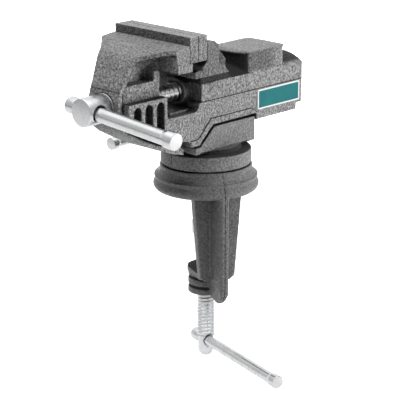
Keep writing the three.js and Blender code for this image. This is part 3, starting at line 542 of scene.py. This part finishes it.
def jaw_shade(paint):
    """Painted shade under and inside the hood, and a painted shadow line before the nose."""
    return paint.shades("hood_room", "hood_back", "hood_underside", "nose_joint")


def base_lines_and_shade(paint):
    """Joint line down the rib, painted shadow on the arm's top, painted shade in the boss's grooves."""
    z = paint.axes()["Z"]
    on_boss = paint.within(paint.from_axis(), BOSS["core"], BOSS["radius"], 0.2)
    # Painted shade in the grooves of the boss
    grooves = [paint.times(paint.line(z, at, BOSS["half"], BOSS["soft"]), on_boss, BOSS["dark"])
               for at in BOSS["grooves"]]
    return paint.most(joint_line_and_neck_shade(COLUMN_AZIMUTH)(paint), paint.shade("arm_top"), *grooves)


def joint_line_and_neck_shade(azimuth, neck=None):
    """The joint line of the mould down a round casting, at an angle round the swivel axis.

    A neck is given as heights and a radius, and is dark in the shadow of the block over it.
    """
    def marks(paint):
        x, y, z = paint.axes()
        across = paint.math("ADD", paint.math("MULTIPLY", x, math.cos(azimuth)),
                            paint.math("MULTIPLY", y, math.sin(azimuth)))
        outward = paint.math("SUBTRACT", paint.math("MULTIPLY", x, math.sin(azimuth)),
                             paint.math("MULTIPLY", y, math.cos(azimuth)))
        in_front = paint.between(outward, JOINT["reach"] * MM, (JOINT["reach"] + 1) * MM)
        broken = paint.between(paint.noise(JOINT["grain"], 2.0, 0.6), 0.36, 0.5)
        found = paint.times(paint.line(across, 0, JOINT["half"]), in_front, broken)
        if neck is None:
            return found
        # Painted shadow of the block over the neck
        shaded = paint.times(paint.within(z, neck["foot"], neck["top"], 0.3),
                             paint.within(paint.from_axis(), 0, neck["reach"], 0.5), neck["dark"])
        return paint.most(found, shaded)
    return marks


def plated(name, axis, turning=0.35):
    """Bright plated steel with fine turning marks round the axis and small stains."""
    paint = Paint(name)
    fine = tuple(40.0 if i == axis else 1.0 for i in range(3))
    marks = paint.noise(4, 2.0, 0.6, paint.stretched(fine))
    stains = paint.noise(6, 4.0, 0.65)
    colour = paint.blend(paint.ramp(stains, (0.45, 0.0), (0.72, 0.35)), STEEL["tint"],
                         tuple(STEEL["stained"] * c for c in STEEL["tint"]))
    rough = paint.ramp(stains, (0.3, STEEL["rough"]), (0.75, STEEL["rougher"]))
    normal = paint.bump(marks, 0.03, turning)
    return paint.set(Base_Color=colour, Metallic=1.0, Roughness=rough, Normal=normal)


def plain_brass():
    paint = Paint("machined_brass")
    marks = paint.noise(2, 3.0, 0.6, paint.stretched((1.0, 12.0, 1.0)))
    colour = paint.ramp(marks, (0.3, BRASS[0]), (0.7, BRASS[1]))
    return paint.set(Base_Color=colour, Metallic=1.0, Roughness=0.32,
                     Normal=paint.bump(marks, 0.05, 0.4))


def label_print(low, high):
    """Teal foil with a pale border that follows the label's rounded outline."""
    paint = Paint("label_print")
    axes = paint.axes()
    corner = (LABEL["corner"] - LABEL["border"]) * MM
    gaps = []
    for axis in (1, 2):
        middle = (low[axis] + high[axis]) / 2
        half = (high[axis] - low[axis]) / 2 - LABEL["border"] * MM - corner
        off = paint.math("ABSOLUTE", paint.math("SUBTRACT", axes[axis], middle))
        gaps.append(paint.math("MAXIMUM", paint.math("SUBTRACT", off, half), 0.0))
    reach = paint.math("SQRT", paint.math("ADD", *(paint.math("POWER", g, 2.0) for g in gaps)))
    inside = paint.math("LESS_THAN", reach, corner)
    tone = paint.noise(9, 2.0, 0.5)
    teal = paint.ramp(tone, (0.3, LABEL["teal"][0]), (0.7, LABEL["teal"][1]))
    colour = paint.blend(inside, LABEL["pale"], teal)
    return paint.set(Base_Color=colour, Roughness=0.45, Specular_IOR_Level=0.3,
                     Normal=paint.bump(tone, 0.05, 0.2))


def serrated(name, grip, back):
    """Jaw plate paint with a crossed knurl on the face that grips, painted shade behind and at the
    ends.
    """
    def marks(paint):
        x, _, z = paint.axes()
        cuts = []
        for sign in (1, -1):
            slant = paint.math("ADD", x, paint.math("MULTIPLY", z, sign))
            share = paint.math("FRACT", paint.math("MULTIPLY", slant, 1 / (KNURL["pitch"] * MM)))
            cuts.append(paint.between(paint.math("ABSOLUTE", paint.math("SUBTRACT", share, 0.5)),
                                      KNURL["start"], KNURL["full"]))
        # Painted shade on the faces turned back and to the ends
        sides = [paint.times(paint.faces(way, 0.8, 0.9), dark)
                 for way, dark in ((back, 0.5), ("+X", 0.2), ("-X", 0.2))]
        return paint.most(paint.times(paint.most(*cuts), paint.faces(grip, 0.8, 0.9)), *sides)
    return cast_paint(name, tone=0.3, grain=0.85, marks=marks)


# Castings: the solids with rounded edges and a slightly uneven skin

def casting(node, body, paint):
    """A solid of the frame as a casting: edges rounded, flats a little uneven."""
    work = bmesh.new()
    work.from_mesh(nodes[node].data)
    bmesh.ops.remove_doubles(work, verts=work.verts, dist=0.002 * MM)
    mesh = bpy.data.meshes.new(f"{node}_casting")
    work.to_mesh(mesh)
    work.free()
    helper = loose_object(mesh)
    remesh = helper.modifiers.new("skin", "REMESH")
    remesh.mode = "VOXEL"
    remesh.voxel_size = SKIN["voxel"] * MM
    remesh.adaptivity = 0
    soften = helper.modifiers.new("soften", "SMOOTH")
    soften.factor = 0.5
    soften.iterations = SKIN["rounds"]
    uneven = bpy.data.textures.new(f"{node}_uneven", "CLOUDS")
    uneven.noise_scale = SKIN["wave"] * MM
    uneven.noise_depth = 2
    wave = helper.modifiers.new("wave", "DISPLACE")
    wave.texture = uneven
    wave.texture_coords = "LOCAL"
    wave.strength = SKIN["depth"] * MM
    wave.mid_level = SKIN["middle"]
    thin = helper.modifiers.new("thin", "DECIMATE")
    thin.ratio = SKIN["keep"]
    result = smooth(baked(helper), 0)
    result.materials.clear()
    result.materials.append(paint)
    return new_piece(f"{node}_casting", result, body, "cast_paint", node)


def build_castings():
    # Each casting's colour carries painted shade in its hollows and in its marks; the slot flanks and
    # the jaw's web side are left out of the hollow shade
    casting("vise_body", "vise", cast_paint("cast_paint_body", marks=body_lines_and_shade, unshaded="slot_flanks"))
    casting("turret", "vise",
            cast_paint("cast_paint_turret", tone=0.21, rough=0.4, gloss=0.5, coarse=0.7,
                       marks=joint_line_and_neck_shade(TURRET_AZIMUTH, NECK)))
    casting("moving_jaw", "jaw", cast_paint("cast_paint_jaw", marks=jaw_shade, unshaded="web_side"))
    casting("clamp_bracket", "bracket",
            cast_paint("cast_paint_base", tone=0.16, rough=0.34, gloss=0.6, coarse=0.6,
                       marks=base_lines_and_shade))


# Steel pieces

def steel_piece(name, mesh, body, steel, node):
    """A turned mesh in plated steel that stands for a node."""
    mesh.materials.append(steel)
    new_piece(name, mesh, body, "plated_steel", node)


def build_lead_screw(steel):
    radius, depth, pitch = LEAD["radius"], LEAD["depth"], LEAD["pitch"]
    head = rounded([(0, LEAD["front"]), (LEAD["head"], LEAD["front"]),
                    (LEAD["head"], LEAD["shoulder"]), (radius, LEAD["shoulder"]),
                    (radius, LEAD["thread"])], LEAD["round"])
    rings = [circle(r, z) for r, z in head]
    after_head = LEAD["thread"] + 0.01
    rings += thread_rings(radius, depth, pitch, after_head, LEAD["tip"] - LEAD["runout"])
    rings += [circle(radius - depth, LEAD["tip"]), [(0, 0, LEAD["tip"])]]
    work = rings_to_bmesh(rings)
    work.transform(along_y(LEAD["z"]))
    hole = lathe(edge_cutter(LEAD["hole"], LEAD["head"] - LEAD["inset"], LEAD["rim"]), HOLE_ROUND)
    hole.transform(Matrix.Translation((0, LEAD["hole_y"], LEAD["z"]))
                   @ Matrix.Rotation(math.pi / 2 + MAIN_BAR["tilt"], 4, "Y"))
    mesh = bored(finished("lead_screw_turned", work), [hole])
    steel_piece("lead_screw_turned", mesh, "screw", steel, "lead_screw")


def build_clamp_screw(steel):
    radius, depth, pitch = CLAMP["radius"], CLAMP["depth"], CLAMP["pitch"]
    tip = CLAMP["top"] - 2 * CLAMP["ball"]
    head = [(0, CLAMP["foot"])]
    head += [(CLAMP["head"] * math.sin(a), CLAMP["foot"] + CLAMP["head"] * (1 - math.cos(a)))
             for a in (math.pi / 2 * i / 8 for i in range(1, 9))]
    head += [(CLAMP["head"], CLAMP["thread"] - CLAMP["shoulder"])]
    rings = [circle(r, z) for r, z in head]
    rings += thread_rings(radius, depth, pitch, CLAMP["thread"], tip - CLAMP["runout"])
    centre = tip + CLAMP["ball"]
    rings += [circle(CLAMP["ball"] / 2, tip)]
    rings += [circle(CLAMP["ball"] * math.cos(a), centre + CLAMP["ball"] * math.sin(a))
              for a in (-math.pi / 4 + 0.75 * math.pi * i / 9 for i in range(9))]
    rings += [[(0, 0, centre + CLAMP["ball"])]]
    hole = lathe(edge_cutter(CLAMP["hole"], CLAMP["head"] - CLAMP["inset"], CLAMP["rim"]), HOLE_ROUND)
    hole.transform(Matrix.Translation((0, 0, CLAMP["hole_z"]))
                   @ Matrix.Rotation(CLAMP_BAR["turn"], 4, "Z") @ Matrix.Rotation(math.pi / 2, 4, "Y"))
    mesh = bored(finished("clamp_screw_turned", rings_to_bmesh(rings)), [hole])
    steel_piece("clamp_screw_turned", mesh, "clamp_screw", steel, "clamp_screw")


def knob_outline(bar, knob, length):
    """An upset end: a short cone from the bar, a barrel and a rounded face."""
    return rounded([(bar - KNOB["sink"], 0), (bar + KNOB["step"], 0), (knob, length * KNOB["cone"]),
                    (knob, length), (0, length)], KNOB["round"])


def build_bar(name, spec, body, steel):
    """A sliding bar with a knob at each end, along its own X."""
    place = (Matrix.Translation(spec["origin"]) @ Matrix.Rotation(spec["turn"], 4, "Z")
             @ Matrix.Rotation(spec["tilt"], 4, "Y") @ Matrix.Rotation(math.pi / 2, 4, "Y"))
    start = -spec["stop"] - spec["length"] / 2
    end = spec["reach"] - spec["length"] / 2
    rod = lathe([(0, start), (spec["radius"], start), (spec["radius"], end), (0, end)])
    rod.transform(place)
    steel_piece(f"{name}_rod", finished(f"{name}_rod", rod), body, steel, name)
    ends = (("inner", -spec["stop"], math.pi), ("outer", spec["reach"] - spec["length"], 0))
    for side, at, flip in ends:
        knob = lathe([(0, 0)] + knob_outline(spec["radius"], spec["knob"], spec["length"]))
        knob.transform(place @ Matrix.Translation((0, 0, at)) @ Matrix.Rotation(flip, 4, "X"))
        mesh = finished(f"{name}_{side}_end", knob)
        steel_piece(f"{name}_{side}_end", mesh, body, steel, f"{name}_{side}_knob")


def build_lock(steel_x, steel_y):
    inner, head, half = LOCK["inner"], LOCK["head"], LOCK["half"]
    outline = rounded([(0, LOCK["x"] - half), (head, LOCK["x"] - half), (head, LOCK["x"] + half),
                       (LOCK["radius"], LOCK["x"] + half)], LOCK["round"])
    rings = [circle(r, z) for r, z in outline]
    rings += thread_rings(LOCK["radius"], LOCK["depth"], LOCK["pitch"], LOCK["thread"],
                          inner - LOCK["runout"], per_turn=10)
    rings += [circle(LOCK["radius"] - LOCK["runout"], inner), [(0, 0, inner)]]
    work = rings_to_bmesh(rings)
    work.transform(along_x(LOCK["z"]))
    hole = lathe(edge_cutter(LOCK["hole"], head - LOCK["inset"], LOCK["rim"]), SMALL_ROUND)
    hole.transform(Matrix.Translation((LOCK["x"], 0, LOCK["z"])) @ Matrix.Rotation(math.pi / 2, 4, "X"))
    mesh = bored(finished("lock_screw_turned", work), [hole])
    steel_piece("lock_screw_turned", mesh, "lock_screw", steel_x, "lock_screw")
    centre = LOCK["front"] + LOCK["span"] / 2
    reach = LOCK["span"] / 2 - LOCK["length"]
    pin = reach + LOCK["length"] / 2
    place = Matrix.Translation((LOCK["x"], centre, LOCK["z"])) @ Matrix.Rotation(-math.pi / 2, 4, "X")
    rod = lathe([(0, -pin), (LOCK["bar"], -pin), (LOCK["bar"], pin), (0, pin)])
    rod.transform(place)
    steel_piece("lock_bar_rod", finished("lock_bar_rod", rod), "lock_bar", steel_y, "lock_bar")
    for side, flip in (("rear", 0), ("front", math.pi)):
        knob = lathe([(0, 0)] + knob_outline(LOCK["bar"], LOCK["knob"], LOCK["length"]))
        knob.transform(place @ Matrix.Rotation(flip, 4, "X") @ Matrix.Translation((0, 0, reach)))
        mesh = finished(f"lock_bar_{side}_end", knob)
        steel_piece(f"lock_bar_{side}_end", mesh, "lock_bar", steel_y, f"lock_bar_{side}_knob")


def build_flush_screw(node, axis, towards, body, shank, steel):
    """A countersunk screw with a hexagon socket, its head at the end given along the axis."""
    low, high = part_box(node)
    size = [(high[i] - low[i]) / MM for i in range(3)]
    middle = [(high[i] + low[i]) / 2 / MM for i in range(3)]
    length = size[axis]
    head = size[(axis + 1) % 3] / 2
    turn = {1: Matrix.Rotation(-math.pi / 2, 4, "X"), 2: Matrix.Identity(4)}[axis]
    if towards < 0:
        turn = turn @ Matrix.Rotation(math.pi, 4, "X")
    place = Matrix.Translation(middle) @ turn @ Matrix.Translation((0, 0, length / 2))
    outline = [(0, -length), (shank - FLUSH["point"], -length),
               (shank, -length + FLUSH["point_length"]), (shank, shank - head),
               (head, -FLUSH["rim"]), (head - FLUSH["edge"], 0), (0, 0)]
    work = lathe(outline, SMALL_ROUND)
    work.transform(place)
    wide, deep = FLUSH["socket"] * head, -FLUSH["deep"] * head
    socket = lathe([(0, deep), (wide, deep + FLUSH["cone"]), (wide, 1), (0, 1)], HEXAGON)
    socket.transform(place)
    mesh = bored(finished(f"{node}_turned", work), [socket])
    steel_piece(f"{node}_turned", mesh, body, steel, node)


def build_label():
    """The label plate with round corners, its print facing +X."""
    low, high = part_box("side_label")
    radius = LABEL["corner"] * MM
    middle = [(low[i] + high[i]) / 2 for i in range(3)]
    half = [(high[i] - low[i]) / 2 for i in range(3)]
    work = bmesh.new()
    outline = []
    for quarter, (side_y, side_z) in enumerate(((1, 1), (-1, 1), (-1, -1), (1, -1))):
        for i in range(LABEL["steps"] + 1):
            angle = math.pi / 2 * (quarter + i / LABEL["steps"])
            outline.append((middle[1] + side_y * (half[1] - radius) + radius * math.cos(angle),
                            middle[2] + side_z * (half[2] - radius) + radius * math.sin(angle)))
    inner, outer = ([work.verts.new((x, y, z)) for y, z in outline] for x in (low[0], high[0]))
    work.faces.new(inner)
    work.faces.new(outer)
    for i in range(len(outline)):
        j = (i + 1) % len(outline)
        work.faces.new((inner[i], inner[j], outer[j], outer[i]))
    work.transform(Matrix.Scale(1 / MM, 4))
    mesh = finished("side_label_plate", work)
    mesh.materials.append(label_print(low, high))
    new_piece("side_label_plate", mesh, "vise", "label", "side_label")


def bevelled(node, width, material):
    """A CAD node that stays, its edges broken and its surface finished."""
    piece = nodes[node]
    weld = piece.modifiers.new("weld", "WELD")
    weld.merge_threshold = 0.002 * MM
    edge = piece.modifiers.new("edge", "BEVEL")
    edge.width = width * MM
    edge.segments = 2
    edge.limit_method = "ANGLE"
    edge.angle_limit = math.radians(40)
    piece.data.materials.clear()
    piece.data.materials.append(material)
    for face in piece.data.polygons:
        face.use_smooth = False


# Set

def build_camera():
    forward = Vector((-math.sin(AZIMUTH) * math.cos(ELEVATION),
                      math.cos(AZIMUTH) * math.cos(ELEVATION), -math.sin(ELEVATION)))
    right = Vector((math.cos(AZIMUTH), math.sin(AZIMUTH), 0))
    up = right.cross(forward)
    data = bpy.data.cameras.new("camera")
    data.sensor_width = SENSOR_MM
    data.lens = FOCAL_PX / IMAGE_PX * SENSOR_MM
    data.clip_start = 0.05
    data.clip_end = 50
    camera = bpy.data.objects.new("camera", data)
    bpy.context.scene.collection.objects.link(camera)
    camera.matrix_world = Matrix.Translation(
        AIM_RIGHT * right + AIM_UP * up - DISTANCE * forward
    ) @ Matrix((right, up, -forward)).transposed().to_4x4()
    bpy.context.scene.camera = camera


def area_lamp(name, azimuth, elevation, size, power):
    """A soft box that faces the origin; azimuth counts from -Y towards +X, in degrees."""
    data = bpy.data.lights.new(name, "AREA")
    data.size = size
    data.energy = power
    lamp = bpy.data.objects.new(name, data)
    bpy.context.scene.collection.objects.link(lamp)
    around, above = math.radians(azimuth), math.radians(elevation)
    lamp.location = LAMP_DISTANCE * Vector((math.sin(around) * math.cos(above),
                                            -math.cos(around) * math.cos(above), math.sin(above)))
    lamp.visible_glossy = False
    lamp.rotation_mode = "QUATERNION"
    lamp.rotation_quaternion = (-lamp.location).to_track_quat("-Z", "Y")


def build_world():
    """Studio room: white to the camera, bands and a backdrop for reflections, little ambient light."""
    world = bpy.data.worlds.new("studio")
    bpy.context.scene.world = world
    world.use_nodes = True
    tree = world.node_tree
    tree.nodes.clear()
    output = tree.nodes.new("ShaderNodeOutputWorld")
    path = tree.nodes.new("ShaderNodeLightPath")
    place = tree.nodes.new("ShaderNodeTexCoord")
    split = tree.nodes.new("ShaderNodeSeparateXYZ")
    height = tree.nodes.new("ShaderNodeMapRange")
    height.inputs["From Min"].default_value = -1
    height.inputs["From Max"].default_value = 1
    room = tree.nodes.new("ShaderNodeValToRGB")
    while len(room.color_ramp.elements) < len(BANDS):
        room.color_ramp.elements.new(0.5)
    for element, (at, value) in zip(room.color_ramp.elements, BANDS):
        element.position = at
        element.color = (value, value, value, 1)
    seen = tree.nodes.new("ShaderNodeBackground")
    seen.inputs["Color"].default_value = (1, 1, 1, 1)
    seen.inputs["Strength"].default_value = 1
    lit = tree.nodes.new("ShaderNodeBackground")
    level = tree.nodes.new("ShaderNodeMapRange")
    level.inputs["To Min"].default_value = AMBIENT
    level.inputs["To Max"].default_value = REFLECTED
    mix = tree.nodes.new("ShaderNodeMixShader")
    behind = tree.nodes.new("ShaderNodeMapRange")
    behind.interpolation_type = "SMOOTHSTEP"
    behind.inputs["From Min"].default_value = BACKDROP["start"]
    behind.inputs["From Max"].default_value = BACKDROP["full"]
    towards = tree.nodes.new("ShaderNodeVectorMath")
    towards.operation = "DOT_PRODUCT"
    towards.inputs[1].default_value = (-math.sin(AZIMUTH), math.cos(AZIMUTH), 0)
    backdrop = tree.nodes.new("ShaderNodeMix")
    backdrop.data_type = "RGBA"
    backdrop.inputs[7].default_value = (*(BACKDROP["tone"],) * 3, 1)
    link = tree.links.new
    link(place.outputs["Generated"], towards.inputs[0])
    link(towards.outputs["Value"], behind.inputs["Value"])
    link(behind.outputs[0], backdrop.inputs[0])
    link(room.outputs["Color"], backdrop.inputs[6])
    link(backdrop.outputs[2], lit.inputs["Color"])
    link(path.outputs["Is Glossy Ray"], level.inputs["Value"])
    link(level.outputs[0], lit.inputs["Strength"])
    link(place.outputs["Generated"], split.inputs[0])
    link(split.outputs["Z"], height.inputs["Value"])
    link(height.outputs[0], room.inputs["Fac"])
    link(path.outputs["Is Camera Ray"], mix.inputs["Fac"])
    link(lit.outputs[0], mix.inputs[1])
    link(seen.outputs[0], mix.inputs[2])
    link(mix.outputs[0], output.inputs["Surface"])


def build_floor():
    """A pale floor that shows white and keeps a soft shadow; it stays white far out."""
    work = bmesh.new()
    bmesh.ops.create_grid(work, x_segments=1, y_segments=1, size=FLOOR["half"])
    mesh = bpy.data.meshes.new("floor")
    work.to_mesh(mesh)
    work.free()
    floor = bpy.data.objects.new("floor", mesh)
    bpy.context.scene.collection.objects.link(floor)
    floor.location = (0, 0, FLOOR["height"])
    material = bpy.data.materials.new("pale_floor")
    material.use_nodes = True
    tree = material.node_tree
    shader = tree.nodes["Principled BSDF"]
    shader.inputs["Base Color"].default_value = (*(FLOOR["tone"],) * 3, 1)
    shader.inputs["Roughness"].default_value = FLOOR["rough"]
    shader.inputs["Emission Color"].default_value = (1, 1, 1, 1)
    path = tree.nodes.new("ShaderNodeLightPath")
    mirrored = tree.nodes.new("ShaderNodeMath")
    mirrored.operation = "MULTIPLY"
    mirrored.inputs[1].default_value = FLOOR["mirrored"]
    tree.links.new(path.outputs["Is Glossy Ray"], mirrored.inputs[0])
    place = tree.nodes.new("ShaderNodeTexCoord")
    from_axis = tree.nodes.new("ShaderNodeVectorMath")
    from_axis.operation = "LENGTH"
    tree.links.new(place.outputs["Object"], from_axis.inputs[0])
    shown = tree.nodes.new("ShaderNodeMapRange")
    for socket, key in (("From Min", "near"), ("From Max", "far"), ("To Min", "near_glow"),
                        ("To Max", "far_glow")):
        shown.inputs[socket].default_value = FLOOR[key]
    tree.links.new(from_axis.outputs["Value"], shown.inputs["Value"])
    strength = tree.nodes.new("ShaderNodeMath")
    strength.operation = "MULTIPLY_ADD"
    tree.links.new(path.outputs["Is Camera Ray"], strength.inputs[0])
    tree.links.new(shown.outputs[0], strength.inputs[1])
    tree.links.new(mirrored.outputs[0], strength.inputs[2])
    tree.links.new(strength.outputs[0], shader.inputs["Emission Strength"])
    mesh.materials.append(material)


build_camera()
build_world()
for name, lamp in LAMPS.items():
    area_lamp(name, *lamp)
build_floor()

build_castings()
steel_x = plated("plated_steel_x", 0)
steel_y = plated("plated_steel_y", 1)
steel_z = plated("plated_steel_z", 2)
build_lead_screw(plated("plated_thread_y", 1, turning=0.08))
build_clamp_screw(plated("plated_thread_z", 2, turning=0.08))
build_bar("main_bar", MAIN_BAR, "main_bar", steel_x)
build_bar("clamp_bar", CLAMP_BAR, "clamp_bar", steel_x)
build_lock(steel_x, steel_y)

for number in range(1, 5):
    build_flush_screw(f"body_screw_{number}", 2, 1, "vise", 2.5, steel_z)
for side in ("near", "far"):
    build_flush_screw(f"fixed_jaw_screw_{side}", 1, -1, "vise", 2.0, steel_y)
    build_flush_screw(f"moving_jaw_screw_{side}", 1, 1, "jaw", 2.0, steel_y)
build_label()

brass = plain_brass()
bevelled("fixed_jaw_plate", 0.5, serrated("fixed_plate_paint", "-Y", "+Y"))
bevelled("moving_jaw_plate", 0.5, serrated("moving_plate_paint", "+Y", "-Y"))
bevelled("lead_nut", 0.3, brass)
bevelled("lock_plug", 0.3, brass)
bevelled("nut_set_screw", 0.25, steel_x)
for name in ("clamp_pad", "collar_pin"):
    bevelled(name, 0.25, steel_z)
for name in ("thrust_washer", "retaining_collar"):
    bevelled(name, 0.25, steel_y)

bpy.context.scene.view_settings.view_transform = "Standard"
